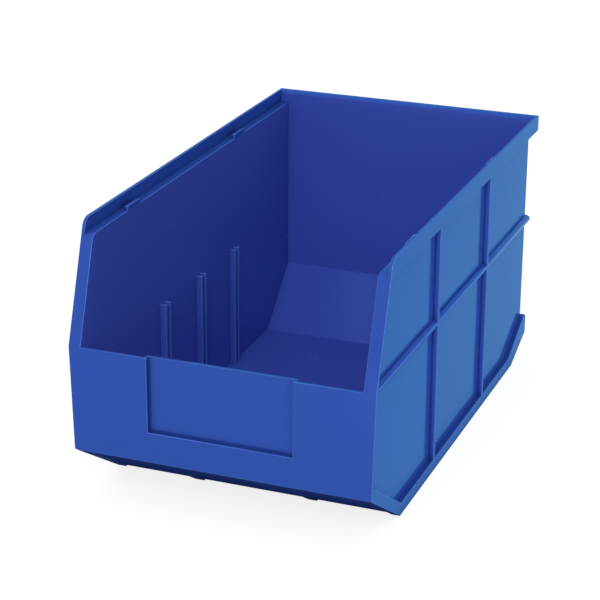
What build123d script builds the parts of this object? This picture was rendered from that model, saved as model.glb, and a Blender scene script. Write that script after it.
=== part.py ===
from build123d import *
import os
from math import cos, radians, sin, tan

# A stackable shelf bin with an open hopper front, in millimetres.
# Z is up, the open front faces -Y, and z = 0 is the plane that the base rails stand on.
# The real bin is one moulding. It is modelled here as its plates, ribs, rails and rims,
# which meet face to face along the lines where the moulding bends or branches.

# Overall size
width = 210.0
length = 370.0
height = 191.0

# Shell
wall = 2.4
floor_lift = 2.4
front_wall_height = 112.0
front_wall_foot = 39.0
front_ramp_run = 61.0
front_ramp_clearance = 2.5
rear_wall_setback = 3.4
rear_ramp_run = 46.0
rear_ramp_rise = 43.1

# Stacking rim on top of the side walls
lip_thickness = 2.2
lip_height = 9.2
ledge_thickness = 2.4
nesting_clearance = 0.4
hopper_setback = 26.5
ledge_corner_radius = 6.0
lip_corner_radius = 8.0

# Rim across the back
rear_skirt_thickness = 2.2
rear_skirt_drop = 11.6

# Flanges beside the front opening
flange_thickness = 2.4
front_foot_taper = 1.8
flange_edge_radius = 1.6

# Ribs outside the side walls
rib_depth = 3.6
rib_tip_width = 2.6
rib_root_width = 4.4
front_rib_depth_from_front = 134.5
rear_rib_depth_from_front = 252.0
mid_rib_tip_drop = 1.8
mid_rib_tip_height = 2.0
mid_rib_root_height = 9.4
mid_rib_overhang = 2.2

# Rails along the foot of each side
rail_height = 8.5
rear_rise_setback = 38.0
rear_rise = 14.0
heel_height = 31.5
heel_kink_setback = 9.0
heel_corner_radius = 3.0

# Runners under the floor
runner_width = 7.0
runner_spacing = 82.0

# Label recess in the front wall
label_width = 100.0
label_bottom = 60.0
label_depth = 3.5

# Divider slots inside the side walls
slot_width = 4.0
guide_thickness = 2.4
guide_depth = 4.4
guide_top = 98.0
first_slot_depth_from_front = 125.5
slot_pitch = 61.6
slot_count = 3

# Locating lugs on the ledges, and the pockets for the lugs of the bin below
lug_length = 19.0
lug_height = 3.0
front_lug_depth_from_front = 83.5
rear_lug_depth_from_front = 264.5
lug_clearance = 0.6

# Small edges
edge_radius = 0.6

# Places worked out from the sizes above
front = -length / 2
back = length / 2
rim_outer = width / 2
lip_inner = rim_outer - lip_thickness
rib_outer = lip_inner - nesting_clearance
wall_outer = rib_outer - rib_depth
wall_inner = wall_outer - wall
ledge_top = height - lip_height
ledge_under = ledge_top - ledge_thickness
rear_outer = back - rear_wall_setback
rear_inner = rear_outer - wall
mid_rib_tip_top = front_wall_height - mid_rib_tip_drop
mid_rib_tip_bottom = mid_rib_tip_top - mid_rib_tip_height
label_half = label_width / 2
frame_half = label_half + wall
label_back = front + label_depth + wall
toe_slope = front_wall_foot / front_ramp_run
floor_front = front + front_ramp_run - front_ramp_clearance
ramp_slope = (front_wall_foot - floor_lift) / (floor_front - front)
runner_front = front + front_ramp_run / 5
hopper_slope = hopper_setback / (height - front_wall_height)
heel_start = back - rear_rise_setback
heel_slope = rear_rise / rear_rise_setback
pocket_height = lug_height + lug_clearance


def hopper_y(z):
    """Y of the sloping front edge at the height z."""
    return front + (z - front_wall_height) * hopper_slope


def inset(before, corner, after, distance):
    """Corner of a path shifted by distance to the left of its direction of travel."""
    first = Vector(corner[0] - before[0], corner[1] - before[1]).normalized()
    second = Vector(after[0] - corner[0], after[1] - corner[1]).normalized()
    normal = Vector(-first.Y - second.Y, first.X + second.X).normalized()
    reach = distance / (normal.X * -first.Y + normal.Y * first.X)
    return (corner[0] + normal.X * reach, corner[1] + normal.Y * reach)


def save(piece, name):
    """Label a finished piece and write it as parts/name.step."""
    piece.part.label = name
    export_step(piece.part, f"parts/{name}.step")


os.makedirs("parts", exist_ok=True)

# Centre line of the shell, seen from the side, as (y, z) corners of its outer face
front_top = (front, front_wall_height)
front_foot = (front, front_wall_foot)
floor_start = (floor_front, floor_lift)
floor_end = (rear_outer - rear_ramp_run, floor_lift)
rear_foot = (rear_outer, floor_lift + rear_ramp_rise)
rear_top = (rear_outer, ledge_top)
front_foot_in = inset(front_top, front_foot, floor_start, wall)
floor_start_in = inset(front_foot, floor_start, floor_end, wall)
floor_end_in = inset(floor_start, floor_end, rear_foot, wall)
rear_foot_in = inset(floor_end, rear_foot, rear_top, wall)
rear_top_in = (rear_inner, ledge_top)

# Floor and ramps, between the side walls
with BuildPart() as floor_panel:
    with BuildSketch(Plane.YZ):
        Polygon(floor_start, floor_end, floor_end_in, floor_start_in, align=None)
    extrude(amount=wall_inner, both=True)
save(floor_panel, "floor_panel")

with BuildPart() as front_ramp:
    with BuildSketch(Plane.YZ):
        Polygon(front_foot, floor_start, floor_start_in, front_foot_in, align=None)
    extrude(amount=wall_inner, both=True)
save(front_ramp, "front_ramp")

with BuildPart() as rear_ramp:
    with BuildSketch(Plane.YZ):
        Polygon(floor_end, rear_foot, rear_foot_in, floor_end_in, align=None)
    extrude(amount=wall_inner, both=True)
save(rear_ramp, "rear_ramp")

with BuildPart() as rear_wall:
    with BuildSketch(Plane.YZ):
        Polygon(rear_foot, rear_top, rear_top_in, rear_foot_in, align=None)
    extrude(amount=wall_inner, both=True)
save(rear_wall, "rear_wall")

# Rim across the back: an upright band, a top and a turned-down skirt
with BuildPart() as rear_rim:
    with BuildSketch(Plane.YZ):
        Polygon(
            (rear_inner, ledge_top),
            (rear_outer, ledge_top),
            (rear_outer, height - ledge_thickness),
            (back - rear_skirt_thickness, height - ledge_thickness),
            (back - rear_skirt_thickness, height - rear_skirt_drop),
            (back, height - rear_skirt_drop),
            (back, height),
            (rear_inner, height),
            align=None,
        )
    extrude(amount=lip_inner, both=True)
    top_edges = rear_rim.edges().filter_by(Axis.X).group_by(Axis.Z)[-1]
    fillet(top_edges, radius=edge_radius)
    with BuildSketch(Plane.XY.offset(ledge_under)):
        with Locations(((wall_outer + lip_inner) / 2, 0), (-(wall_outer + lip_inner) / 2, 0)):
            with Locations((0, (rear_inner + rear_outer) / 2)):
                Rectangle(lip_inner - wall_outer, wall)
    extrude(amount=ledge_thickness)
save(rear_rim, "rear_rim")

# Front wall: a sill below the label, a panel each side of it, and the label recess
with BuildPart() as front_sill:
    with BuildSketch(Plane.YZ):
        Polygon(
            front_foot,
            front_foot_in,
            (front + wall, label_bottom - wall),
            (front, label_bottom - wall),
            align=None,
        )
    extrude(amount=wall_inner, both=True)
save(front_sill, "front_sill")

with BuildPart() as label_shelf:
    with BuildSketch(Plane.XY.offset(label_bottom - wall)):
        Polygon(
            (-frame_half, front),
            (frame_half, front),
            (frame_half, label_back),
            (-frame_half, label_back),
            align=None,
        )
    extrude(amount=wall)
save(label_shelf, "label_shelf")

with BuildPart() as label_panel:
    with BuildSketch(Plane.XY.offset(label_bottom)):
        Polygon(
            (-label_half, front + label_depth),
            (label_half, front + label_depth),
            (label_half, label_back),
            (-label_half, label_back),
            align=None,
        )
    extrude(amount=front_wall_height - label_bottom)
save(label_panel, "label_panel")

# Outline of a side wall, and of the rails at its foot
toe_top = (front, front_wall_foot)
toe_end = (front + front_ramp_run, 0)
rail_end = (heel_start, 0)
heel_end = (back, rear_rise)
wall_toe_end = (toe_end[0] - pocket_height / toe_slope, pocket_height)
wall_rail_end = (heel_start + pocket_height / heel_slope, pocket_height)
wall_heel_end = (rear_outer, (rear_outer - heel_start) * heel_slope)
hopper_corner = (hopper_y(ledge_top), ledge_top)
toe_top_in = (front, front_wall_foot + rail_height * (1 + toe_slope**2) ** 0.5)
toe_end_in = inset(toe_top, toe_end, rail_end, rail_height)
rail_end_in = (heel_start - heel_kink_setback, rail_height)

# How far along Y the inner face of the hopper flange lies behind its outer face
flange_shift = flange_thickness * (1 + hopper_slope**2) ** 0.5

# Where the bend of the ledge ends and its flat part begins
bend_end = hopper_corner[0] + ledge_corner_radius

for side in ("left", "right"):
    mirrored = side == "left"

    with BuildPart() as front_wall:
        with BuildSketch(Plane.XZ.offset(-front)):
            Polygon(
                (frame_half, label_bottom - wall),
                (wall_inner, label_bottom - wall),
                (wall_inner, front_wall_height),
                (frame_half, front_wall_height),
                align=None,
            )
        extrude(amount=-wall)
        if mirrored:
            mirror(about=Plane.YZ, mode=Mode.REPLACE)
    save(front_wall, f"front_wall_{side}")

    with BuildPart() as label_cheek:
        with BuildSketch(Plane.XY.offset(label_bottom)):
            Polygon(
                (label_half, front),
                (frame_half, front),
                (frame_half, label_back),
                (label_half, label_back),
                align=None,
            )
        extrude(amount=front_wall_height - label_bottom)
        if mirrored:
            mirror(about=Plane.YZ, mode=Mode.REPLACE)
    save(label_cheek, f"label_cheek_{side}")

    # Side wall, above the level of its foot
    with BuildPart() as side_wall:
        with BuildSketch(Plane.YZ.offset(wall_inner)) as outline:
            Polygon(
                toe_top,
                wall_toe_end,
                wall_rail_end,
                wall_heel_end,
                rear_top,
                hopper_corner,
                front_top,
                align=None,
            )
            corner = outline.vertices().group_by(Axis.Y)[-1].sort_by(Axis.X)[0]
            fillet(corner, radius=ledge_corner_radius)
        extrude(amount=wall)
        if mirrored:
            mirror(about=Plane.YZ, mode=Mode.REPLACE)
    save(side_wall, f"side_wall_{side}")

    # Foot of the side wall, broken by a pocket for each lug of the bin below
    with BuildPart() as wall_foot:
        with BuildSketch(Plane.YZ.offset(wall_inner)):
            Polygon(toe_end, rail_end, wall_rail_end, wall_toe_end, align=None)
            for lug_place in (front_lug_depth_from_front, rear_lug_depth_from_front):
                with Locations((front + lug_place, 0)):
                    Rectangle(
                        lug_length + 2 * lug_clearance,
                        pocket_height,
                        align=(Align.CENTER, Align.MIN),
                        mode=Mode.SUBTRACT,
                    )
        extrude(amount=wall)
        if mirrored:
            mirror(about=Plane.YZ, mode=Mode.REPLACE)
    save(wall_foot, f"wall_foot_{side}")

    # Flange beside the front wall, tapering to the rails at its foot
    with BuildPart() as front_flange:
        with BuildSketch(Plane.XZ.offset(-front)):
            Polygon(
                (wall_outer, front_wall_foot),
                (rim_outer - front_foot_taper, front_wall_foot),
                (rim_outer, front_wall_height),
                (wall_outer, front_wall_height),
                align=None,
            )
        extrude(amount=-flange_thickness)
        outer_edge = front_flange.edges().sort_by(SortBy.LENGTH)[-4:].group_by(Axis.X)[-1]
        fillet(outer_edge.sort_by(Axis.Y)[0], radius=flange_edge_radius)
        if mirrored:
            mirror(about=Plane.YZ, mode=Mode.REPLACE)
    save(front_flange, f"front_flange_{side}")

    # Flange up the sloping edge, out to the lip, and its bend onto the ledge
    with BuildPart() as hopper_flange:
        with BuildSketch(Plane.YZ.offset(wall_outer)) as strip:
            Polygon(
                front_top,
                hopper_corner,
                (bend_end, ledge_top),
                (bend_end, ledge_under),
                (hopper_y(ledge_under) + flange_shift, ledge_under),
                (hopper_y(front_wall_height) + flange_shift, front_wall_height),
                align=None,
            )
            outer_corner = strip.vertices().group_by(Axis.Y)[-1].sort_by(Axis.X)[0]
            fillet(outer_corner, radius=ledge_corner_radius)
            inner_place = (hopper_y(ledge_under) + flange_shift, ledge_under)
            inner_corner = strip.vertices().sort_by_distance(inner_place)[0]
            fillet(inner_corner, radius=ledge_corner_radius - ledge_thickness)
        extrude(amount=lip_inner - wall_outer)
        with BuildSketch(Plane.YZ.offset(lip_inner)):
            Polygon(
                front_top,
                (hopper_y(ledge_under), ledge_under),
                (hopper_y(ledge_under) + flange_shift, ledge_under),
                (hopper_y(front_wall_height) + flange_shift, front_wall_height),
                align=None,
            )
        extrude(amount=lip_thickness)
        if mirrored:
            mirror(about=Plane.YZ, mode=Mode.REPLACE)
    save(hopper_flange, f"hopper_flange_{side}")

    # Ledge that carries the rails of the bin above
    with BuildPart() as stacking_ledge:
        with BuildSketch(Plane.XY.offset(ledge_under)):
            Polygon(
                (wall_outer, bend_end),
                (lip_inner, bend_end),
                (lip_inner, rear_inner),
                (wall_outer, rear_inner),
                align=None,
            )
        extrude(amount=ledge_thickness)
        if mirrored:
            mirror(about=Plane.YZ, mode=Mode.REPLACE)
    save(stacking_ledge, f"stacking_ledge_{side}")

    # Lip that keeps the bin above in line
    with BuildPart() as stacking_lip:
        with BuildSketch(Plane.YZ.offset(lip_inner)) as outline:
            Polygon(
                (hopper_y(ledge_under), ledge_under),
                (back, ledge_under),
                (back, height),
                (hopper_y(height), height),
                align=None,
            )
            corner = outline.vertices().group_by(Axis.Y)[-1].sort_by(Axis.X)[0]
            fillet(corner, radius=lip_corner_radius)
        extrude(amount=lip_thickness)
        if mirrored:
            mirror(about=Plane.YZ, mode=Mode.REPLACE)
    save(stacking_lip, f"stacking_lip_{side}")

    # Level rib half way up the outside
    with BuildPart() as mid_rib:
        with BuildSketch(Plane.XZ.offset(-(front + flange_thickness))):
            Polygon(
                (wall_outer, front_wall_height - mid_rib_root_height),
                (rib_outer, mid_rib_tip_bottom),
                (rib_outer, mid_rib_tip_top),
                (wall_outer, front_wall_height),
                align=None,
            )
        extrude(amount=-(rear_outer + mid_rib_overhang - front - flange_thickness))
        if mirrored:
            mirror(about=Plane.YZ, mode=Mode.REPLACE)
    save(mid_rib, f"mid_rib_{side}")

    # Upright ribs, each in two lengths, above and below the level rib
    rib_places = {"front": front_rib_depth_from_front, "rear": rear_rib_depth_from_front}
    lengths = {"lower": (rail_height, mid_rib_tip_top), "upper": (mid_rib_tip_bottom, ledge_under)}
    for place, depth_from_front in rib_places.items():
        for part_name, (bottom, top) in lengths.items():
            with BuildPart() as upright_rib:
                with BuildSketch(Plane.XY.offset(bottom)):
                    Polygon(
                        (wall_outer, front + depth_from_front - rib_root_width / 2),
                        (rib_outer, front + depth_from_front - rib_tip_width / 2),
                        (rib_outer, front + depth_from_front + rib_tip_width / 2),
                        (wall_outer, front + depth_from_front + rib_root_width / 2),
                        align=None,
                    )
                extrude(amount=top - bottom)
                if mirrored:
                    mirror(about=Plane.YZ, mode=Mode.REPLACE)
                add(mid_rib.part, mode=Mode.SUBTRACT)
            save(upright_rib, f"{place}_rib_{part_name}_{side}")

    # Rail along the foot of the wall, in three lengths: toe, rail and heel
    rail_outlines = {
        "toe_rail": (toe_top, toe_end, toe_end_in, toe_top_in),
        "base_rail": (toe_end, rail_end, rail_end_in, toe_end_in),
        "heel_rail": (rail_end, heel_end, (back, heel_height), rail_end_in),
    }
    for name, corners in rail_outlines.items():
        with BuildPart() as rail:
            with BuildSketch(Plane.YZ.offset(wall_outer)) as outline:
                Polygon(*corners, align=None)
                if name == "heel_rail":
                    corner = outline.vertices().group_by(Axis.Y)[-1].sort_by(Axis.X)[-1]
                    fillet(corner, radius=heel_corner_radius)
            extrude(amount=rib_depth)
            if mirrored:
                mirror(about=Plane.YZ, mode=Mode.REPLACE)
            if name == "toe_rail":
                add(front_flange.part, mode=Mode.SUBTRACT)
        save(rail, f"{name}_{side}")

    # Runner under the floor
    with BuildPart() as floor_runner:
        with BuildSketch(Plane.YZ.offset((runner_spacing - runner_width) / 2)):
            Polygon(
                floor_start,
                (runner_front, front_wall_foot - (runner_front - front) * ramp_slope),
                (runner_front, front_wall_foot - (runner_front - front) * toe_slope),
                toe_end,
                (floor_end[0] - floor_lift, 0),
                floor_end,
                align=None,
            )
        extrude(amount=runner_width)
        if mirrored:
            mirror(about=Plane.YZ, mode=Mode.REPLACE)
    save(floor_runner, f"floor_runner_{side}")

    # Pairs of guides that hold a divider, standing on the floor
    for number in range(slot_count):
        slot_y = front + first_slot_depth_from_front + number * slot_pitch
        guide_step = (slot_width + guide_thickness) / 2
        with BuildPart() as divider_guides:
            with BuildSketch(Plane.XY.offset(floor_lift + wall)):
                with Locations((wall_inner, slot_y - guide_step), (wall_inner, slot_y + guide_step)):
                    Rectangle(guide_depth, guide_thickness, align=(Align.MAX, Align.CENTER))
            extrude(amount=guide_top - floor_lift - wall)
            if mirrored:
                mirror(about=Plane.YZ, mode=Mode.REPLACE)
        save(divider_guides, f"divider_guides_{number + 1}_{side}")

    # Lugs on the inner edge of the ledge
    lug_places = {"front": front_lug_depth_from_front, "rear": rear_lug_depth_from_front}
    for place, depth_from_front in lug_places.items():
        with BuildPart() as lug:
            with BuildSketch(Plane.XY.offset(ledge_top)):
                with Locations((wall_inner, front + depth_from_front)):
                    Rectangle(wall, lug_length, align=(Align.MIN, Align.CENTER))
            extrude(amount=lug_height)
            if mirrored:
                mirror(about=Plane.YZ, mode=Mode.REPLACE)
        save(lug, f"{place}_lug_{side}")
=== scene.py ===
"""Looks of a deep stackable shelf bin with an open hopper front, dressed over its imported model."""

from __future__ import annotations

import logging
import math
from dataclasses import dataclass, field
from enum import Enum
from typing import Sequence

import bmesh
import bpy
from mathutils import Matrix, Vector


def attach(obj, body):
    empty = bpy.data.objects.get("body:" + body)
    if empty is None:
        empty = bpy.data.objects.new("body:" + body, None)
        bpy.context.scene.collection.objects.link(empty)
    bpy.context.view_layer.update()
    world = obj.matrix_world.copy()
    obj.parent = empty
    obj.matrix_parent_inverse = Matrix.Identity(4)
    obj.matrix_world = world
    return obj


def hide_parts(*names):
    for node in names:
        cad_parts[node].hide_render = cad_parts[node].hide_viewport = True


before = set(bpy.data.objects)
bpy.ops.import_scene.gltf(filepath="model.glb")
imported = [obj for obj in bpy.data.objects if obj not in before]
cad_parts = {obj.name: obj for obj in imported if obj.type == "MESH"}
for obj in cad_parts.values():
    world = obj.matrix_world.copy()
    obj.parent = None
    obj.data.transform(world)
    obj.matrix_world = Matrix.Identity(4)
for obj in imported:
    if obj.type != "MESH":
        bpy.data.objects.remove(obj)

LOG = logging.getLogger("shelf_bin")
MM = 0.001
WHITE = (1.0, 1.0, 1.0, 1.0)
MIX_A, MIX_B, MIX_RESULT = 6, 7, 2  # colour sockets of a Mix node
Pair = tuple[float, float]
Triple = tuple[float, float, float]
Outline = list[Pair]
Socket = bpy.types.NodeSocket


class Facing(Enum):
    """Axis that an outline is drawn out along. Its plane holds the other two axes, in order."""

    SIDE = 0
    FRONT = 1
    TOP = 2

    def place(self, point: Sequence[float], along: float) -> Vector:
        """Place a point of an outline, drawn out to a place on the axis, in the room, in metres."""
        return Vector((*point[: self.value], along, *point[self.value :])) * MM


class Side(Enum):
    """Side of the bin, seen from the front."""

    LEFT = -1
    RIGHT = 1


def rounded(outline: Outline, radii: dict[int, float], steps: int = 6) -> Outline:
    """Round chosen corners of an outline.

    Args:
        outline: Corners in order, in millimetres.
        radii: Radius for each corner to round, by its place in the outline.
        steps: Straight pieces that each arc is drawn with.

    Returns:
        The outline with each chosen corner replaced by the points of an arc.
    """
    points: Outline = []
    for index, corner in enumerate(outline):
        radius = radii.get(index)
        if not radius:
            points.append(corner)
            continue
        here = Vector(corner)
        back_way = (Vector(outline[index - 1]) - here).normalized()
        on_way = (Vector(outline[(index + 1) % len(outline)]) - here).normalized()
        half = back_way.angle(on_way) / 2
        centre = here + (back_way + on_way).normalized() * (radius / math.sin(half))
        first = here + back_way * (radius / math.tan(half)) - centre
        last = here + on_way * (radius / math.tan(half)) - centre
        turn = first.angle(last)
        for step in range(steps + 1):
            share = step / steps
            arm = (first * math.sin((1 - share) * turn) + last * math.sin(share * turn)) / math.sin(turn)
            points.append(tuple(centre + arm))
    return points


def shifted(
    before: Sequence[float], corner: Sequence[float], after: Sequence[float], distance: float
) -> Pair:
    """Shift a corner of a path to the left of its direction of travel.

    Args:
        before: Point before the corner.
        corner: The corner itself.
        after: Point after the corner.
        distance: How far both runs move, in millimetres.

    Returns:
        The corner of the shifted path.
    """
    first = (Vector(corner) - Vector(before)).normalized()
    second = (Vector(after) - Vector(corner)).normalized()
    normal = Vector((-first.y - second.y, first.x + second.x)).normalized()
    reach = distance / (normal.x * -first.y + normal.y * first.x)
    return (corner[0] + normal.x * reach, corner[1] + normal.y * reach)


def prism(name: str, outline: Outline, facing: Facing, start: float, end: float) -> bpy.types.Object:
    """Draw an outline out into a closed solid.

    Args:
        name: Name of the new object.
        outline: Corners in order, in millimetres.
        facing: Axis that it is drawn out along.
        start: Where the solid starts on that axis, in millimetres.
        end: Where it ends.

    Returns:
        The new object, with its place in its mesh.
    """
    mesh = bmesh.new()
    rings = [[mesh.verts.new(facing.place(point, at)) for point in outline] for at in (start, end)]
    count = len(outline)
    mesh.faces.new(rings[0])
    mesh.faces.new(reversed(rings[1]))
    for index in range(count):
        following = (index + 1) % count
        mesh.faces.new((rings[0][index], rings[1][index], rings[1][following], rings[0][following]))
    bmesh.ops.recalc_face_normals(mesh, faces=mesh.faces)
    data = bpy.data.meshes.new(name)
    mesh.to_mesh(data)
    mesh.free()
    piece = bpy.data.objects.new(name, data)
    bpy.context.scene.collection.objects.link(piece)
    return piece


def settle(piece: bpy.types.Object) -> None:
    """Turn a piece with its modifiers into a plain mesh of the same name.

    Args:
        piece: Object whose modifiers are to be applied and taken off.
    """
    graph = bpy.context.evaluated_depsgraph_get()
    data = bpy.data.meshes.new_from_object(piece.evaluated_get(graph), depsgraph=graph)
    piece.modifiers.clear()
    piece.data = data
    data.name = piece.name


def bend_of(edge: bmesh.types.BMEdge) -> float:
    """Bend between the two faces at an edge, in radians: above 0 outwards, and 0 without two faces."""
    return edge.calc_face_angle_signed(0.0) if len(edge.link_faces) == 2 else 0.0


def paint_edge_highlights(
    piece: bpy.types.Object, finish: bpy.types.Material, widest: float = 0.3, least_bend: float = 6.0
) -> None:
    """Give the narrow strips that round off the edges a lighter material, as a painted highlight.

    Args:
        piece: Finished piece.
        finish: Lighter material of its edges, a painted highlight.
        widest: Width up to which a face counts as part of a rounded edge, in millimetres.
        least_bend: Bend to the next face from which it does, in degrees.
    """
    mesh = bmesh.new()
    mesh.from_mesh(piece.data)
    piece.data.materials.append(finish)
    edge_highlight = len(piece.data.materials) - 1
    for face in mesh.faces:
        longest = max(face.edges, key=lambda edge: edge.calc_length())
        narrow = face.calc_area() < widest * MM * longest.calc_length()
        if narrow and bend_of(longest) > math.radians(least_bend):
            face.material_index = edge_highlight
    mesh.to_mesh(piece.data)
    mesh.free()


@dataclass(frozen=True)
class BinSizes:
    """Sizes of the moulding in millimetres, the same as in the part's source."""

    width: float = 210.0
    length: float = 370.0
    height: float = 191.0
    wall: float = 2.4
    floor_lift: float = 2.4
    front_wall_height: float = 112.0
    front_wall_foot: float = 39.0
    front_ramp_run: float = 61.0
    front_ramp_clearance: float = 2.5
    rear_wall_setback: float = 3.4
    rear_ramp_run: float = 46.0
    rear_ramp_rise: float = 43.1
    lip_thickness: float = 2.2
    lip_height: float = 9.2
    ledge_thickness: float = 2.4
    nesting_clearance: float = 0.4
    hopper_setback: float = 26.5
    ledge_corner_radius: float = 6.0
    lip_corner_radius: float = 8.0
    rear_skirt_thickness: float = 2.2
    rear_skirt_drop: float = 11.6
    flange_thickness: float = 2.4
    flange_stop_share: float = 0.8
    front_foot_taper: float = 1.8
    rib_depth: float = 3.6
    rib_tip_width: float = 2.6
    rib_root_width: float = 4.4
    front_rib_depth_from_front: float = 134.5
    rear_rib_depth_from_front: float = 252.0
    mid_rib_tip_drop: float = 1.8
    mid_rib_tip_height: float = 2.0
    mid_rib_root_height: float = 9.4
    mid_rib_overhang: float = 2.2
    rail_height: float = 8.5
    rear_rise_setback: float = 38.0
    rear_rise: float = 14.0
    heel_height: float = 31.5
    heel_kink_setback: float = 9.0
    heel_corner_radius: float = 3.0
    runner_width: float = 7.0
    runner_spacing: float = 82.0
    label_width: float = 100.0
    label_bottom: float = 60.0
    label_depth: float = 3.5
    slot_width: float = 4.0
    guide_thickness: float = 2.4
    guide_depth: float = 4.4
    guide_top: float = 98.0
    first_slot_depth_from_front: float = 125.5
    slot_pitch: float = 61.6
    slot_count: int = 3
    lug_length: float = 19.0
    lug_height: float = 3.0
    front_lug_depth_from_front: float = 83.5
    rear_lug_depth_from_front: float = 264.5
    lug_clearance: float = 0.6

    @property
    def front(self) -> float:
        """Y of the front face."""
        return -self.length / 2

    @property
    def back(self) -> float:
        """Y of the rear rim's outer face."""
        return self.length / 2

    @property
    def rim_outer(self) -> float:
        """X of the lips' outer faces."""
        return self.width / 2

    @property
    def lip_inner(self) -> float:
        """X of the lips' inner faces."""
        return self.rim_outer - self.lip_thickness

    @property
    def rib_outer(self) -> float:
        """X that the ribs and rails reach."""
        return self.lip_inner - self.nesting_clearance

    @property
    def wall_outer(self) -> float:
        """X of the side walls' outer faces."""
        return self.rib_outer - self.rib_depth

    @property
    def wall_inner(self) -> float:
        """X of the side walls' inner faces."""
        return self.wall_outer - self.wall

    @property
    def ledge_top(self) -> float:
        """Height that a bin above rests at."""
        return self.height - self.lip_height

    @property
    def ledge_under(self) -> float:
        """Height of the ledges' undersides."""
        return self.ledge_top - self.ledge_thickness

    @property
    def rear_outer(self) -> float:
        """Y of the rear wall's outer face."""
        return self.back - self.rear_wall_setback

    @property
    def rear_inner(self) -> float:
        """Y of the rear wall's inner face."""
        return self.rear_outer - self.wall

    @property
    def floor_front(self) -> float:
        """Y where the floor meets the front ramp, on the underside."""
        return self.front + self.front_ramp_run - self.front_ramp_clearance

    @property
    def flange_top(self) -> float:
        """Height where the flanges end, just under the ledges' rounded front corners."""
        return self.ledge_top - self.flange_stop_share * self.ledge_corner_radius

    @property
    def flange_run(self) -> float:
        """Thickness of the leaning flange, measured on the level."""
        lean = self.hopper_setback / (self.height - self.front_wall_height)
        return self.flange_thickness * math.sqrt(1 + lean**2)

    def hopper_y(self, z: float) -> float:
        """Y of the sloping front edge at the height z."""
        share = (z - self.front_wall_height) / (self.height - self.front_wall_height)
        return self.front + share * self.hopper_setback


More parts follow.
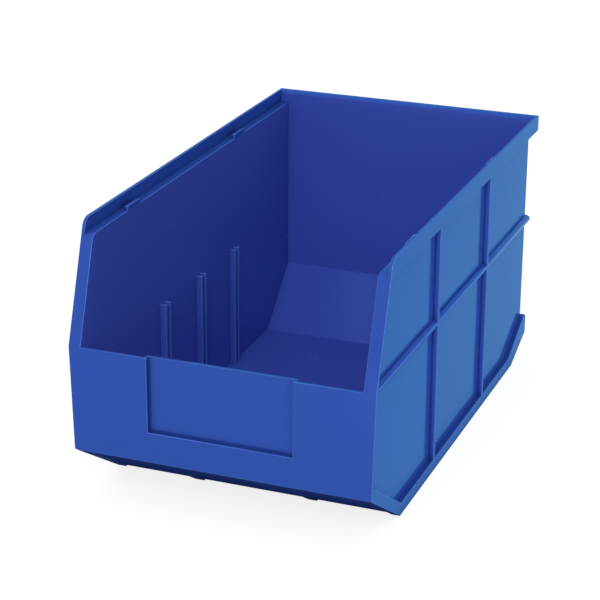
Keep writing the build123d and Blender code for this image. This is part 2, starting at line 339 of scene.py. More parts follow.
@dataclass
class MouldedBody:
    """Floor, walls, rim and rails as one moulding with rounded edges, in millimetres and degrees."""

    sizes: BinSizes = field(default_factory=BinSizes)
    tuck: float = 1.0
    cut_past: float = 5.0
    inside_radii: tuple[float, ...] = (2.5, 3.0, 3.0, 2.0)
    label_backing_radius: float = 1.6
    small_arc_steps: int = 4
    lip_arc_steps: int = 10
    rim_inner_radius: float = 2.6
    rim_arc_steps: int = 8
    heel_foot_radius: float = 1.5
    runner_start: float = 12.2
    runner_sunk: float = 0.8
    taper_run: float = 20.0
    pocket_tuck: float = 0.6
    edge_radius: float = 0.38
    edge_steps: int = 3
    weld: float = 0.18
    flat_bend: float = 0.4
    sharp_bend: float = 20.0
    least_turn: float = 30.0
    cavity_margin: float = 0.1
    floor_margin: float = 0.5
    underside_tilt: float = 0.3

    def shell_outline(self) -> Outline:
        """Draw the bent plate that is front wall, ramps, floor and rear wall.

        Returns:
            Its outline from the side, with the corners of the cavity rounded.
        """
        s = self.sizes
        top = (s.front, s.front_wall_height)
        foot = (s.front, s.front_wall_foot)
        floor_start = (s.floor_front, s.floor_lift)
        floor_end = (s.rear_outer - s.rear_ramp_run, s.floor_lift)
        rear_foot = (s.rear_outer, s.floor_lift + s.rear_ramp_rise)
        rear_top = (s.rear_outer, s.ledge_top)
        inner = [
            (s.rear_inner, s.ledge_top),
            shifted(floor_end, rear_foot, rear_top, s.wall),
            shifted(floor_start, floor_end, rear_foot, s.wall),
            shifted(foot, floor_start, floor_end, s.wall),
            shifted(top, foot, floor_start, s.wall),
            (s.front + s.wall, s.front_wall_height),
        ]
        outer = [top, foot, floor_start, floor_end, rear_foot, rear_top]
        radii = dict(enumerate(self.inside_radii, len(outer) + 1))
        return rounded(outer + inner, radii, self.small_arc_steps)

    def side_outline(self) -> Outline:
        """Draw a side wall with its foot.

        Returns:
            Its outline from the side.
        """
        s = self.sizes
        heel_slope = s.rear_rise / s.rear_rise_setback
        heel_start = s.back - s.rear_rise_setback
        outline = [
            (s.front, s.front_wall_foot),
            (s.front + s.front_ramp_run, 0.0),
            (heel_start, 0.0),
            (s.rear_outer, (s.rear_outer - heel_start) * heel_slope),
            (s.rear_outer, s.ledge_top),
            (s.hopper_y(s.ledge_top), s.ledge_top),
            (s.front, s.front_wall_height),
        ]
        return rounded(outline, {5: s.ledge_corner_radius})

    def strip_outline(self) -> Outline:
        """Draw the strip that climbs the hopper edge and runs back as the ledge.

        Returns:
            Its outline from the side.
        """
        s = self.sizes
        outline = [
            (s.front, s.front_wall_height),
            (s.hopper_y(s.ledge_top), s.ledge_top),
            (s.rear_outer, s.ledge_top),
            (s.rear_outer, s.ledge_under),
            (s.hopper_y(s.ledge_under) + s.flange_run, s.ledge_under),
            (s.hopper_y(s.front_wall_height) + s.flange_run, s.front_wall_height),
        ]
        return rounded(outline, {1: s.ledge_corner_radius, 4: s.ledge_corner_radius - s.ledge_thickness})

    def flange_outline(self) -> Outline:
        """Draw the flange beside the opening, from the foot of the front wall to the lip.

        Returns:
            Its outline from the side.
        """
        s = self.sizes
        foot = (s.front, s.front_wall_foot)
        kink = (s.front, s.front_wall_height)
        top = (s.hopper_y(s.flange_top), s.flange_top)
        return [
            foot,
            kink,
            top,
            (top[0] + s.flange_run, top[1]),
            shifted(top, kink, foot, s.flange_thickness),
            (s.front + s.flange_thickness, s.front_wall_foot),
        ]

    def lip_outline(self) -> Outline:
        """Draw a stacking lip.

        Returns:
            Its outline from the side.
        """
        s = self.sizes
        low = s.flange_top - self.tuck
        outline = [
            (s.hopper_y(low), low),
            (s.hopper_y(low) + s.flange_run, low),
            (s.hopper_y(s.ledge_under) + s.flange_run, s.ledge_under),
            (s.back, s.ledge_under),
            (s.back, s.height),
            (s.hopper_y(s.height), s.height),
        ]
        return rounded(outline, {5: s.lip_corner_radius}, self.lip_arc_steps)

    def rear_rim_outline(self) -> Outline:
        """Draw the rim across the back, with its turned-down skirt.

        Returns:
            Its outline from the side.
        """
        s = self.sizes
        under, hem = s.height - s.ledge_thickness, s.height - s.rear_skirt_drop
        skirt_inner = s.back - s.rear_skirt_thickness
        outline = [
            (s.rear_inner, s.ledge_under),
            (s.rear_outer, s.ledge_under),
            (s.rear_outer, under),
            (skirt_inner, under),
            (skirt_inner, hem),
            (s.back, hem),
            (s.back, s.height),
            (s.rear_inner, s.height),
        ]
        return rounded(outline, {7: self.rim_inner_radius}, self.rim_arc_steps)

    def rail_outline(self) -> Outline:
        """Draw the rail along the foot of a side, from toe to heel.

        Returns:
            Its outline from the side.
        """
        s = self.sizes
        slope = s.front_wall_foot / s.front_ramp_run
        heel_start = s.back - s.rear_rise_setback
        toe_top = (s.front + self.tuck, s.front_wall_foot - self.tuck * slope)
        toe_end = (s.front + s.front_ramp_run, 0.0)
        toe_top_in = (toe_top[0], toe_top[1] + s.rail_height * math.sqrt(1 + slope**2))
        outline = [
            toe_top,
            toe_end,
            (heel_start, 0.0),
            (s.back, s.rear_rise),
            (s.back, s.heel_height),
            (heel_start - s.heel_kink_setback, s.rail_height),
            shifted(toe_top, toe_end, (heel_start, 0.0), s.rail_height),
            toe_top_in,
        ]
        return rounded(outline, {3: self.heel_foot_radius, 4: s.heel_corner_radius})

    def runner_outline(self) -> Outline:
        """Draw a runner under the front ramp and the floor.

        Returns:
            Its outline from the side.
        """
        s = self.sizes
        floor_end = s.rear_outer - s.rear_ramp_run
        start = self.runner_start
        toe_slope = s.front_wall_foot / s.front_ramp_run
        ramp_slope = (s.front_wall_foot - s.floor_lift) / (s.floor_front - s.front)
        return [
            (s.floor_front + self.tuck, s.floor_lift + self.runner_sunk),
            (s.front + start, s.front_wall_foot - start * ramp_slope + self.runner_sunk),
            (s.front + start, s.front_wall_foot - start * toe_slope),
            (s.front + s.front_ramp_run, 0.0),
            (floor_end - s.floor_lift, 0.0),
            (floor_end, s.floor_lift),
            (floor_end - self.tuck, s.floor_lift + self.runner_sunk),
        ]

    def solids(self) -> list[bpy.types.Object]:
        """Draw every solid that is joined into the moulding.

        Returns:
            The solids, the bent plate first.
        """
        s = self.sizes
        bulge = s.label_width / 2 + s.wall
        label_front, label_back = s.front + self.tuck, s.front + s.label_depth + s.wall
        backing = rounded(
            [(-bulge, label_front), (bulge, label_front), (bulge, label_back), (-bulge, label_back)],
            {2: self.label_backing_radius, 3: self.label_backing_radius},
            self.small_arc_steps,
        )
        across, rim_across = s.wall_inner + self.tuck, s.lip_inner + self.tuck
        pieces = [
            prism("shell", self.shell_outline(), Facing.SIDE, -across, across),
            prism("rear_rim_band", self.rear_rim_outline(), Facing.SIDE, -rim_across, rim_across),
            prism("label_backing", backing, Facing.TOP, s.label_bottom - s.wall, s.front_wall_height),
        ]
        in_wall = s.wall_outer - self.tuck
        runner_inner = (s.runner_spacing - s.runner_width) / 2
        drawn = (
            ("side", self.side_outline(), s.wall_inner, s.wall_outer),
            ("strip", self.strip_outline(), in_wall, s.lip_inner + self.tuck),
            ("flange", self.flange_outline(), in_wall, s.rim_outer),
            ("lip", self.lip_outline(), s.lip_inner, s.rim_outer),
            ("rail", self.rail_outline(), in_wall, s.rib_outer),
            ("runner", self.runner_outline(), runner_inner, runner_inner + s.runner_width),
        )
        for side in Side:
            for name, outline, inner, outer in drawn:
                ends = sorted((side.value * inner, side.value * outer))
                pieces.append(prism(f"{name}_{side.name.lower()}", outline, Facing.SIDE, *ends))
        return pieces

    def cuts(self) -> list[bpy.types.Object]:
        """Draw every solid that is cut out of the moulding.

        Returns:
            The label recess, and for each side the taper of the foot and the two pockets for lugs.
        """
        s = self.sizes
        half, above, before = s.label_width / 2, s.front_wall_height + self.cut_past, s.front - self.cut_past
        recess = [(-half, s.label_bottom), (half, s.label_bottom), (half, above), (-half, above)]
        pieces = [prism("label_recess", recess, Facing.FRONT, before, s.front + s.label_depth)]
        foot, tapered = s.front_wall_foot, s.rim_outer - s.front_foot_taper
        past = s.rim_outer + self.cut_past
        wedge = (
            (tapered, foot - self.tuck),
            (tapered, foot),
            (s.rim_outer, s.front_wall_height),
            (past, s.front_wall_height),
            (past, foot - self.tuck),
        )
        reach, top, low = s.lug_length / 2 + s.lug_clearance, s.lug_height + s.lug_clearance, -self.tuck
        for side in Side:
            name = side.name.lower()
            taper = [(side.value * x, z) for x, z in wedge]
            pieces.append(prism(f"taper_{name}", taper, Facing.FRONT, before, s.front + self.taper_run))
            ends = sorted((side.value * (s.wall_inner - self.pocket_tuck), side.value * s.wall_outer))
            for depth in (s.front_lug_depth_from_front, s.rear_lug_depth_from_front):
                y = s.front + depth
                pocket = [(y - reach, low), (y + reach, low), (y + reach, top), (y - reach, top)]
                pieces.append(prism(f"pocket_{name}_{depth:.0f}", pocket, Facing.SIDE, *ends))
        return pieces

    def room_beside(self, edge: bmesh.types.BMEdge) -> float:
        """Measure how much flat there is beside an edge for its rounding.

        Args:
            edge: Edge that is to be rounded.

        Returns:
            Length of the shortest edge that leaves it sideways, in millimetres.
        """
        along = (edge.verts[1].co - edge.verts[0].co).normalized()
        beside = {other for corner in edge.verts for other in corner.link_edges} - {edge}
        sideways = [
            other.calc_length()
            for other in beside
            if set(other.link_faces) & set(edge.link_faces)
            and abs((other.verts[1].co - other.verts[0].co).normalized().dot(along))
            < math.cos(math.radians(self.least_turn))
        ]
        return min(sideways, default=1.0) / MM

    def mark_edges(self, piece: bpy.types.Object) -> None:
        """Mark the outward edges that have enough flat beside them to be rounded.

        Args:
            piece: The joined moulding, before its edges are rounded.
        """
        mesh = bmesh.new()
        mesh.from_mesh(piece.data)
        bmesh.ops.remove_doubles(mesh, verts=mesh.verts, dist=self.weld * MM)
        flat = math.radians(self.flat_bend)
        bmesh.ops.dissolve_limit(mesh, angle_limit=flat, verts=mesh.verts, edges=mesh.edges)
        spurs = [corner for corner in mesh.verts if len(corner.link_edges) == 2]
        bmesh.ops.dissolve_verts(mesh, verts=spurs)
        layer = mesh.edges.layers.float.new("bevel_weight_edge")
        sharp = math.radians(self.sharp_bend)
        for edge in mesh.edges:
            rounds = bend_of(edge) > sharp and self.room_beside(edge) > 2 * self.edge_radius
            edge[layer] = float(rounds)
            edge.smooth = rounds or abs(bend_of(edge)) < sharp
        mesh.to_mesh(piece.data)
        mesh.free()

    def dress(self, piece: bpy.types.Object, finishes: Sequence[bpy.types.Material]) -> None:
        """Give the outside its grained finish, the cavity a smoother one and the underside a matt one, whose
        darker colour is painted shade.

        Args:
            piece: The finished moulding.
            finishes: Finishes of the outer faces, the cavity and the underside.
        """
        s = self.sizes
        piece.data.materials.clear()
        for finish in finishes:
            piece.data.materials.append(finish)
        middle = Vector((0.0, 0.0, s.ledge_top / 2)) * MM
        near = self.cavity_margin
        for face in piece.data.polygons:
            x, y, z = face.center / MM
            within = (
                abs(x) < s.wall_inner + near
                and s.front + s.wall - near < y < s.rear_inner + near
                and z > s.floor_lift + self.floor_margin
            )
            inward = within and face.normal.dot(middle - face.center) > 0
            # Downward faces get the darker matt blue: painted shade on the underside.
            face.material_index = 1 if inward else 2 * int(face.normal.z < -self.underside_tilt)

    def build(self, finishes: Sequence[bpy.types.Material]) -> bpy.types.Object:
        """Join the solids, cut the recesses and round the edges.

        Args:
            finishes: Finishes of the outer faces, the cavity and the underside.

        Returns:
            The moulding as one object.
        """
        solids, cuts = self.solids(), self.cuts()
        body = solids[0]
        body.name = "moulded_body"
        for operation, group in (("UNION", solids[1:]), ("DIFFERENCE", cuts)):
            for operand in group:
                join = body.modifiers.new(operand.name, "BOOLEAN")
                join.operation, join.solver, join.object = operation, "MANIFOLD", operand
        settle(body)
        for operand in (*solids[1:], *cuts):
            bpy.data.objects.remove(operand)
        self.mark_edges(body)
        bevel = body.modifiers.new("edges", "BEVEL")
        bevel.limit_method = "WEIGHT"
        bevel.width = self.edge_radius * MM
        bevel.segments = self.edge_steps
        bevel.miter_outer = "MITER_ARC"
        bevel.use_clamp_overlap = False
        bevel.harden_normals = True
        for face in body.data.polygons:
            face.use_smooth = True
        settle(body)
        for corner in body.data.vertices:
            corner.co.z = min(corner.co.z, self.sizes.height * MM)
        self.dress(body, finishes)
        return body


class NodeSketch:
    """Small helper that adds and joins the nodes of a tree."""

    def __init__(self, tree: bpy.types.NodeTree) -> None:
        """Start on an empty tree.

        Args:
            tree: Node tree to fill.
        """
        self.tree = tree
        tree.nodes.clear()

    def add(
        self, kind: str, values: dict[str | int, object] | None = None, **settings: object
    ) -> bpy.types.Node:
        """Add a node.

        Args:
            kind: Type of the node.
            values: What goes into its inputs, by name or number: values, or outputs to join.
            settings: Properties of the node itself.

        Returns:
            The new node.
        """
        node = self.tree.nodes.new(kind)
        for name, value in settings.items():
            setattr(node, name, value)
        for name, value in (values or {}).items():
            if isinstance(value, Socket):
                self.tree.links.new(value, node.inputs[name])
            else:
                node.inputs[name].default_value = value
        return node

    def maths(self, operation: str, first: object, second: object) -> Socket:
        """Add a Math node that works on two numbers or outputs, and return its result."""
        return self.add("ShaderNodeMath", {0: first, 1: second}, operation=operation).outputs[0]

    def noise(self, scale: float, detail: float, rough: float, smear: float = 0.0) -> Socket:
        """Add a noise on the piece's own coordinates.

        Args:
            scale: How many of its lumps there are to a metre.
            detail: How many finer layers it has.
            rough: How strong they are.
            smear: How far it is distorted.

        Returns:
            Its strength, from 0 to 1.
        """
        values = {"Scale": scale, "Detail": detail, "Roughness": rough, "Distortion": smear}
        place = self.add("ShaderNodeTexCoord").outputs["Object"]
        return self.add("ShaderNodeTexNoise", {"Vector": place, **values}).outputs["Fac"]

    def spread(self, value: Socket, before: Pair, after: Pair, **settings: object) -> Socket:
        """Spread one span of values over another.

        Args:
            value: Value to change.
            before: The span that it has.
            after: The span that it gets.
            settings: Properties of the node itself.

        Returns:
            The changed value.
        """
        spans = {"From Min": before[0], "From Max": before[1], "To Min": after[0], "To Max": after[1]}
        return self.add("ShaderNodeMapRange", {"Value": value, **spans}, **settings).outputs["Result"]

    def changed(self, kind: str, geometry: Socket, values: dict[str, object] | None = None) -> Socket:
        """Add a geometry node that changes a geometry, and return the changed one."""
        return self.add(f"GeometryNode{kind}", {"Geometry": geometry, **(values or {})}).outputs[0]

    def repeated(self, piece: Socket, line: dict[str, object]) -> Socket:
        """Set a piece on every point of a line, and return the whole row."""
        points = self.add("GeometryNodeMeshLine", line).outputs[0]
        return self.add("GeometryNodeInstanceOnPoints", {"Points": points, "Instance": piece}).outputs[0]

    def joined(self, *parts: Socket) -> Socket:
        """Add a node that joins geometries.

        Args:
            parts: The geometries.

        Returns:
            All of them as one.
        """
        join = self.add("GeometryNodeJoinGeometry")
        for part in parts:
            self.tree.links.new(part, join.inputs[0])
        return join.outputs[0]


@dataclass(frozen=True)
class MouldedPlastic:
    """Coloured polypropylene as it leaves the mould, semi-gloss, with a fine grain, and painted shade in its
    corners.
    """

    name: str
    colour: Triple
    tone_shift: float = 0.05
    roughness: Pair = (0.09, 0.14)
    grain_size: float = 0.0007
    grain_depth: float = 0.000012
    waviness: float = 0.00012
    cloud_scale: float = 9.0
    smear_scale: float = 38.0
    smear_span: Pair = (0.3, 0.7)
    wave_scale: float = 26.0
    ior: float = 1.49
    specular: float = 0.01
    pigment_gloss: float = 0.32
    grazing_tint: Triple = (0.3, 0.9, 1.0)
    # Reach and strength of the painted shade that darkens the colour in corners.
    corner_reach: float = 0.0055
    corner_shade: float = 0.6

    def material(self) -> bpy.types.Material:
        """Make the material.

        Returns:
            A node material that reads the piece's own coordinates.
        """
        made = bpy.data.materials.new(self.name)
        made.use_nodes = True
        sketch = NodeSketch(made.node_tree)
        clouds = sketch.noise(self.cloud_scale, 3.0, 0.5)
        dark = tuple(c * (1 - self.tone_shift) for c in self.colour)
        light = tuple(min(1.0, c * (1 + self.tone_shift)) for c in self.colour)
        mixed = {"Factor": clouds, MIX_A: (*dark, 1.0), MIX_B: (*light, 1.0)}
        tone = sketch.add("ShaderNodeMix", mixed, data_type="RGBA").outputs[MIX_RESULT]
        # Ambient Occlusion darkens the colour in corners, recesses and beside ribs: painted shade.
        corners = sketch.add("ShaderNodeAmbientOcclusion", {"Distance": self.corner_reach}, samples=8)
        painted_corner_shade = sketch.spread(corners.outputs["AO"], (0.0, 1.0), (1 - self.corner_shade, 1.0))
        shaded = sketch.add("ShaderNodeVectorMath", {0: tone, "Scale": painted_corner_shade}, operation="SCALE")
        smears = sketch.noise(self.smear_scale, 5.0, 0.62, 0.6)
        sheen = sketch.spread(smears, self.smear_span, self.roughness)
        grain = sketch.noise(1.0 / self.grain_size, 2.0, 0.5)
        waves = sketch.noise(self.wave_scale, 1.0, 0.4)
        soft = sketch.add("ShaderNodeBump", {"Strength": 0.5, "Distance": self.waviness, "Height": waves})
        bumps = {"Strength": 1.0, "Distance": self.grain_depth, "Height": grain}
        fine = sketch.add("ShaderNodeBump", {**bumps, "Normal": soft.outputs["Normal"]})
        surface = {
            "Base Color": shaded.outputs["Vector"],
            "Roughness": sheen,
            "Normal": fine.outputs["Normal"],
            "IOR": self.ior,
            "Metallic": self.pigment_gloss,
            "Specular Tint": (*self.grazing_tint, 1.0),
            "Specular IOR Level": self.specular,
        }
        skin = sketch.add("ShaderNodeBsdfPrincipled", surface)
        sketch.add("ShaderNodeOutputMaterial", {"Surface": skin.outputs["BSDF"]})
        return made


GRAINED = MouldedPlastic("grained_blue_plastic", (0.034, 0.090, 0.430))
POLISHED = MouldedPlastic(
    "polished_blue_plastic",
    (0.046, 0.085, 0.435),
    roughness=(0.20, 0.28),
    grain_depth=0.000005,
    specular=0.1,
    pigment_gloss=0.10,
    corner_shade=0.15,
)
# A lighter blue for the rounded edge strips: painted highlight.
EDGE_HIGHLIGHT = MouldedPlastic(
    "painted_highlight_blue_edges",
    (0.070, 0.160, 0.540),
    roughness=(0.24, 0.34),
    grain_depth=0.000006,
    corner_shade=0.0,
)
# A darker, matt blue for the downward faces: painted shade on the underside.
MATT_SHADED_UNDERSIDE = MouldedPlastic(
    "matt_painted_shade_blue_underside", (0.034, 0.080, 0.400), roughness=(0.45, 0.60), specular=0.0, pigment_gloss=0.0
)


@dataclass(frozen=True)
class SweptBars:
    """Straight bars of one tapered section, in rows on both sides of the bin. Sizes are in millimetres."""

    name: str
    root_width: float
    tip_width: float
    depth: float
    length: float
    place: Triple
    turn: tuple[Triple, ...]
    tip_offset: float = 0.0
    edge_radius: float = 0.4
    end_radius: float = 0.35
    count: int = 1
    step: Triple = (0.0, 0.0, 0.0)
    twin_count: int = 1
    twin_step: Triple = (0.0, 0.0, 0.0)
    arc_steps: int = 3
    weld: float = 0.01
    crisp_angle: float = 50.0

    def tree(self) -> bpy.types.NodeTree:
        """Build the tree that draws, repeats and mirrors the bars.

        Returns:
            A geometry node tree with named inputs.
        """
        tree = bpy.data.node_groups.new(f"{self.name}_tree", "GeometryNodeTree")
        sketch = NodeSketch(tree)
        kinds = {
            "Geometry": ("Geometry",),
            "Float": ("Root Width", "Tip Width", "Depth", "Tip Offset", "Edge Radius", "Length"),
            "Vector": ("Turn", "Place", "Step", "Twin Step"),
            "Int": ("Count", "Twin Count"),
            "Material": ("Material",),
        }
        for kind, labels in kinds.items():
            for label in labels:
                tree.interface.new_socket(name=label, in_out="INPUT", socket_type=f"NodeSocket{kind}")
        tree.interface.new_socket(name="Bars", in_out="OUTPUT", socket_type="NodeSocketGeometry")
        given = sketch.add("NodeGroupInput").outputs
        trapezoid = {
            "Bottom Width": given["Root Width"],
            "Top Width": given["Tip Width"],
            "Height": given["Depth"],
            "Offset": given["Tip Offset"],
        }
        section = sketch.add("GeometryNodeCurvePrimitiveQuadrilateral", trapezoid, mode="TRAPEZOID")
        arcs = {"Radius": given["Edge Radius"], "Count": self.arc_steps, "Limit Radius": True}
        soft = sketch.add("GeometryNodeFilletCurve", {"Curve": section.outputs[0], **arcs}, mode="POLY")
        face = sketch.add("GeometryNodeFillCurve", {"Curve": soft.outputs[0]}, mode="NGONS").outputs[0]
        lift = sketch.add("ShaderNodeCombineXYZ", {"Z": given["Length"]})
        pull = {"Mesh": face, "Offset": lift.outputs[0], "Offset Scale": 1.0, "Individual": False}
        drawn = sketch.add("GeometryNodeExtrudeMesh", pull, mode="FACES")
        under = sketch.add("GeometryNodeFlipFaces", {"Mesh": face})
        closed = sketch.joined(drawn.outputs[0], under.outputs[0])
        welded = sketch.changed("MergeByDistance", closed, {"Distance": self.weld * MM})
        turned = sketch.changed("Transform", welded, {"Rotation": given["Turn"]})
        twins = sketch.repeated(turned, {"Count": given["Twin Count"], "Offset": given["Twin Step"]})
        row = {"Count": given["Count"], "Start Location": given["Place"], "Offset": given["Step"]}
        real = sketch.changed("RealizeInstances", sketch.repeated(twins, row))
        across = sketch.changed("Transform", real, {"Scale": (-1.0, 1.0, 1.0)})
        righted = sketch.add("GeometryNodeFlipFaces", {"Mesh": across})
        whole = sketch.changed("RealizeInstances", sketch.joined(real, righted.outputs[0]))
        dressed = sketch.changed("SetMaterial", whole, {"Material": given["Material"]})
        sketch.add("NodeGroupOutput", {"Bars": dressed})
        return tree

    def build(self, material: bpy.types.Material) -> bpy.types.Object:
        """Draw the bars and turn them into a plain mesh.

        Args:
            material: Finish of the bars.

        Returns:
            One object that holds all the bars.
        """
        piece = bpy.data.objects.new(self.name, bpy.data.meshes.new(self.name))
        bpy.context.scene.collection.objects.link(piece)
        grow = piece.modifiers.new("bars", "NODES")
        grow.node_group = self.tree()
        values = {
            "Root Width": self.root_width * MM,
            "Tip Width": self.tip_width * MM,
            "Depth": self.depth * MM,
            "Tip Offset": self.tip_offset * MM,
            "Edge Radius": self.edge_radius * MM,
            "Length": self.length * MM,
            "Turn": tuple(Matrix(self.turn).to_euler()),
            "Place": tuple(c * MM for c in self.place),
            "Count": self.count,
            "Step": tuple(c * MM for c in self.step),
            "Twin Count": self.twin_count,
            "Twin Step": tuple(c * MM for c in self.twin_step),
            "Material": material,
        }
        for item in grow.node_group.interface.items_tree:
            if item.name in values:
                grow[item.identifier] = values[item.name]
        bevel = piece.modifiers.new("ends", "BEVEL")
        crisp = math.radians(self.crisp_angle)
        bevel.limit_method, bevel.angle_limit = "ANGLE", crisp
        bevel.width, bevel.segments = self.end_radius * MM, self.arc_steps
        settle(piece)
        for face in piece.data.polygons:
            face.use_smooth = True
        piece.data.set_sharp_from_angle(angle=crisp)
        return piece


@dataclass
class SideRibs:
    """Level rib and upright ribs outside each side wall. Sizes are in millimetres."""

    sizes: BinSizes = field(default_factory=BinSizes)
    sunk: float = 0.5
    level_flare: float = 1.0
    level_radius: float = 0.8
    upright_flare: float = 0.3
    upright_radius: float = 0.6
    upright_setback: float = 0.06

    def build(self, material: bpy.types.Material) -> list[bpy.types.Object]:
        """Draw the ribs of both sides.

        Args:
            material: Finish of the ribs.

        Returns:
            The level ribs and the upright ribs.
        """
        s = self.sizes
        depth = s.rib_depth + self.sunk
        middle = s.wall_outer - self.sunk + depth / 2
        root_centre = s.front_wall_height - s.mid_rib_root_height / 2
        tip_centre = s.front_wall_height - s.mid_rib_tip_drop - s.mid_rib_tip_height / 2
        start = s.front + s.flange_thickness - self.sunk
        level = SweptBars(
            "level_ribs",
            root_width=s.mid_rib_root_height + self.level_flare,
            tip_width=s.mid_rib_tip_height,
            depth=depth,
            tip_offset=tip_centre - root_centre,
            edge_radius=self.level_radius,
            end_radius=self.level_radius,
            length=s.rear_outer + s.mid_rib_overhang - start,
            place=(middle, start, root_centre),
            turn=((0, 1, 0), (0, 0, 1), (1, 0, 0)),
        )
        upright = SweptBars(
            "upright_ribs",
            root_width=s.rib_root_width + self.upright_flare,
            tip_width=s.rib_tip_width,
            depth=depth - self.upright_setback,
            edge_radius=self.upright_radius,
            length=s.ledge_under - s.rail_height + 2 * self.sunk,
            place=(
                middle - self.upright_setback / 2,
                s.front + s.front_rib_depth_from_front,
                s.rail_height - self.sunk,
            ),
            turn=((0, 1, 0), (-1, 0, 0), (0, 0, 1)),
            count=2,
            step=(0.0, s.rear_rib_depth_from_front - s.front_rib_depth_from_front, 0.0),
        )
        return [level.build(material), upright.build(material)]


@dataclass
class DividerGuides:
    """Pairs of upright guides inside the side walls, each pair a slot for a divider."""

    sizes: BinSizes = field(default_factory=BinSizes)
    sunk: float = 0.4
    draft: float = 0.2
    radius: float = 0.5

    def build(self, material: bpy.types.Material) -> bpy.types.Object:
        """Draw the guides of both sides.

        Args:
            material: Finish of the guides.

        Returns:
            All guides as one object.
        """
        s = self.sizes
        depth = s.guide_depth + self.sunk
        gap = s.slot_width + s.guide_thickness
        floor_top = s.floor_lift + s.wall
        return SweptBars(
            "divider_guides",
            root_width=s.guide_thickness + self.draft,
            tip_width=s.guide_thickness - self.draft,
            depth=depth,
            edge_radius=self.radius,
            end_radius=self.radius,
            length=s.guide_top - floor_top + self.sunk,
            place=(
                s.wall_inner + self.sunk - depth / 2,
                s.front + s.first_slot_depth_from_front - gap / 2,
                floor_top - self.sunk,
            ),
            turn=((0, -1, 0), (1, 0, 0), (0, 0, 1)),
            count=s.slot_count,
            step=(0.0, s.slot_pitch, 0.0),
            twin_count=2,
            twin_step=(0.0, gap, 0.0),
        ).build(material)


@dataclass
class LedgeLugs:
    """Raised lugs on the inner edge of each ledge, which keep a stacked bin from sliding."""

    sizes: BinSizes = field(default_factory=BinSizes)
    sunk: float = 0.5
    taper: float = 0.8
    edge_radius: float = 0.5
    end_radius: float = 0.3

    def build(self, material: bpy.types.Material) -> bpy.types.Object:
        """Draw the four lugs.

        Args:
            material: Finish of the lugs.

        Returns:
            All lugs as one object.
        """
        s = self.sizes
        height = s.lug_height + self.sunk
        return SweptBars(
            "ledge_lugs",
            root_width=s.lug_length,
            tip_width=s.lug_length - self.taper,
            depth=height,
            edge_radius=self.edge_radius,
            end_radius=self.end_radius,
            length=s.wall,
            place=(
                s.wall_inner,
                s.front + s.front_lug_depth_from_front,
                s.ledge_top - self.sunk + height / 2,
            ),
            turn=((0, 0, 1), (1, 0, 0), (0, 1, 0)),
            count=2,
            step=(0.0, s.rear_lug_depth_from_front - s.front_lug_depth_from_front, 0.0),
        ).build(material)


@dataclass(frozen=True)
class SoftLamp:
    """A rectangular soft box that faces a point near the bin."""

    name: str
    place: Triple
    aim: Triple
    width: float
    height: float
    power: float

    def hang(self) -> None:
        """Put the lamp in the scene."""
        data = bpy.data.lights.new(self.name, "AREA")
        data.shape, data.size, data.size_y = "RECTANGLE", self.width, self.height
        data.energy = self.power
        lamp = bpy.data.objects.new(self.name, data)
        lamp.location = self.place
        lamp.rotation_euler = (Vector(self.place) - Vector(self.aim)).to_track_quat("Z", "Y").to_euler()
        bpy.context.scene.collection.objects.link(lamp)


@dataclass(frozen=True)
class PhotoCamera:
    """Camera at the photograph's angle, as the bin's own edges give it. Angles are in degrees."""

    azimuth: float = 21.074
    elevation: float = 21.209
    roll: float = 0.358
    place: Triple = (0.4545, -1.2227, 0.5985)
    lens: float = 118.048
    sensor_width: float = 36.0
    clip: Pair = (0.05, 50.0)

    def set_up(self) -> None:
        """Place the camera and make it the scene's."""
        azimuth, elevation, roll = (math.radians(a) for a in (self.azimuth, self.elevation, self.roll))
        level = math.cos(elevation)
        back = Vector((math.sin(azimuth) * level, -math.cos(azimuth) * level, math.sin(elevation)))
        right = Vector((math.cos(azimuth), math.sin(azimuth), 0.0))
        up = back.cross(right)
        turned_right = right * math.cos(roll) + up * math.sin(roll)
        turned_up = up * math.cos(roll) - right * math.sin(roll)
        data = bpy.data.cameras.new("camera")
        data.sensor_width = self.sensor_width
        data.lens = self.lens
        data.clip_start, data.clip_end = self.clip
        camera = bpy.data.objects.new("camera", data)
        axes = (*zip(turned_right, turned_up, back, self.place), (0.0, 0.0, 0.0, 1.0))
        camera.matrix_world = Matrix(axes)
        bpy.context.scene.collection.objects.link(camera)
        bpy.context.scene.camera = camera


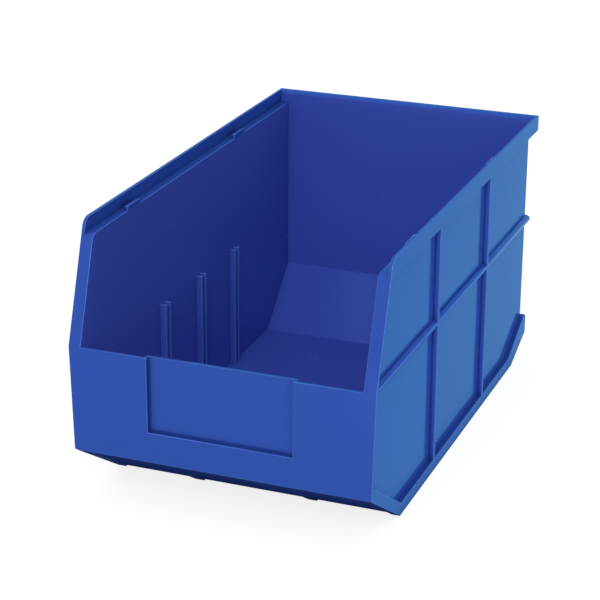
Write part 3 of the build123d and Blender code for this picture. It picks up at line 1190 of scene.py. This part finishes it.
@dataclass
class Studio:
    """Pale floor and soft lamps. Sizes are in metres, and the edge of the painted floor shadow is in shares
    of the bin.
    """

    sizes: BinSizes = field(default_factory=BinSizes)
    ambient: float = 0.73
    floor_reach: float = 12.0
    floor_tone: float = 0.3
    floor_glow: float = 0.8
    shadow_edge: Pair = (0.85, 1.10)
    lamps: tuple[SoftLamp, ...] = (
        SoftLamp("side_lamp", (1.8, 0.45, 0.10), (0.1, 0.0, 0.1), 1.6, 0.18, 10.5),
        SoftLamp("front_lamp", (0.45, -2.05, 1.4), (0.0, 0.0, 0.1), 1.3, 0.9, 25.0),
    )

    def shows_background(self, sketch: NodeSketch) -> tuple[Socket, Socket]:
        """Add the nodes that tell rays that show the background from rays that light the bin.

        Args:
            sketch: Tree to add to.

        Returns:
            A socket that is 1 for camera, glossy and transmission rays, and one for camera rays alone.
        """
        path = sketch.add("ShaderNodeLightPath").outputs
        mirrored = sketch.maths("MAXIMUM", path["Is Glossy Ray"], path["Is Transmission Ray"])
        return sketch.maths("MAXIMUM", path["Is Camera Ray"], mirrored), path["Is Camera Ray"]

    def world(self) -> None:
        """Light the scene evenly, and show white where nothing stands."""
        world = bpy.data.worlds.new("studio")
        world.use_nodes = True
        bpy.context.scene.world = world
        sketch = NodeSketch(world.node_tree)
        shown, _ = self.shows_background(sketch)
        room = sketch.add("ShaderNodeBackground", {"Color": WHITE, "Strength": self.ambient})
        white = sketch.add("ShaderNodeBackground", {"Color": WHITE, "Strength": 1.0})
        mixed = sketch.add("ShaderNodeMixShader", {0: shown, 1: room.outputs[0], 2: white.outputs[0]})
        sketch.add("ShaderNodeOutputWorld", {"Surface": mixed.outputs[0]})

    def painted_floor_shadow(self, sketch: NodeSketch) -> Socket:
        """Add the nodes that mark the floor that the bin stands over, where the glow is masked out as a
        painted shadow.

        Args:
            sketch: Tree to add to.

        Returns:
            A socket that goes from 0 under the bin to 1 beside it.
        """
        shares = (2 / (self.sizes.width * MM), 2 / (self.sizes.length * MM), 0.0)
        place = sketch.add("ShaderNodeTexCoord").outputs["Object"]
        scaled = sketch.add("ShaderNodeVectorMath", {0: place, 1: shares}, operation="MULTIPLY")
        away = sketch.add("ShaderNodeVectorMath", {0: scaled.outputs[0]}, operation="ABSOLUTE")
        axes = sketch.add("ShaderNodeSeparateXYZ", {"Vector": away.outputs[0]}).outputs
        furthest = sketch.maths("MAXIMUM", axes["X"], axes["Y"])
        return sketch.spread(furthest, self.shadow_edge, (0.0, 1.0), interpolation_type="SMOOTHSTEP")

    def floor(self) -> None:
        """Lay a wide floor that shows white and keeps the bin's shadow; in reflections its glow is masked
        out under the bin, a painted shadow.
        """
        data = bpy.data.meshes.new("floor")
        reach = self.floor_reach
        corners = [(-reach, -reach, 0), (reach, -reach, 0), (reach, reach, 0), (-reach, reach, 0)]
        data.from_pydata(corners, [], [(0, 1, 2, 3)])
        floor = bpy.data.objects.new("floor", data)
        bpy.context.scene.collection.objects.link(floor)
        pale = bpy.data.materials.new("pale_floor")
        pale.use_nodes = True
        sketch = NodeSketch(pale.node_tree)
        shown, camera_ray = self.shows_background(sketch)
        # Camera rays see the full glow; other rays lose it over the bin's footprint: painted shadow.
        glow_share = sketch.maths("MAXIMUM", camera_ray, self.painted_floor_shadow(sketch))
        strength = sketch.maths("MULTIPLY", glow_share, self.floor_glow)
        matt = sketch.add("ShaderNodeBsdfDiffuse", {"Color": (*[self.floor_tone] * 3, 1.0)})
        glow = sketch.add("ShaderNodeEmission", {"Color": WHITE, "Strength": strength})
        white = sketch.add("ShaderNodeAddShader", {0: matt.outputs[0], 1: glow.outputs[0]})
        mixed = sketch.add("ShaderNodeMixShader", {0: shown, 1: matt.outputs[0], 2: white.outputs[0]})
        sketch.add("ShaderNodeOutputMaterial", {"Surface": mixed.outputs[0]})
        data.materials.append(pale)

    def set_up(self) -> None:
        """Light the room and lay the floor."""
        bpy.context.scene.view_settings.view_transform = "Standard"
        self.world()
        self.floor()
        for lamp in self.lamps:
            lamp.hang()


def main() -> None:
    """Build the pieces in order and report each of them."""
    logging.basicConfig(level=logging.INFO, format="%(name)s: %(message)s")
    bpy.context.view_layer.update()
    outside, inside, edge_highlight, shaded_beneath = (finish.material() for finish in (GRAINED, POLISHED, EDGE_HIGHLIGHT, MATT_SHADED_UNDERSIDE))
    body = MouldedBody().build((outside, inside, shaded_beneath))
    level_ribs, upright_ribs = SideRibs().build(outside)
    guides = DividerGuides().build(inside)
    lugs = LedgeLugs().build(outside)
    nodes = set(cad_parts)
    stands_for = (
        (level_ribs, [n for n in nodes if n.startswith("mid_rib")]),
        (upright_ribs, [n for n in nodes if n.startswith(("front_rib", "rear_rib"))]),
        (guides, [n for n in nodes if n.startswith("divider_guides")]),
        (lugs, [n for n in nodes if "_lug_" in n]),
    )
    taken = {name for _, names in stands_for for name in names}
    for piece, names in (*stands_for, (body, nodes - taken)):
        # The rounded edge strips get the lighter blue: painted highlight.
        paint_edge_highlights(piece, edge_highlight)
        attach(piece, "root")
        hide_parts(*sorted(names))
        LOG.info("%s: %d faces, stands for %d nodes", piece.name, len(piece.data.polygons), len(names))
    Studio().set_up()
    PhotoCamera().set_up()


if __name__ == "__main__":
    main()
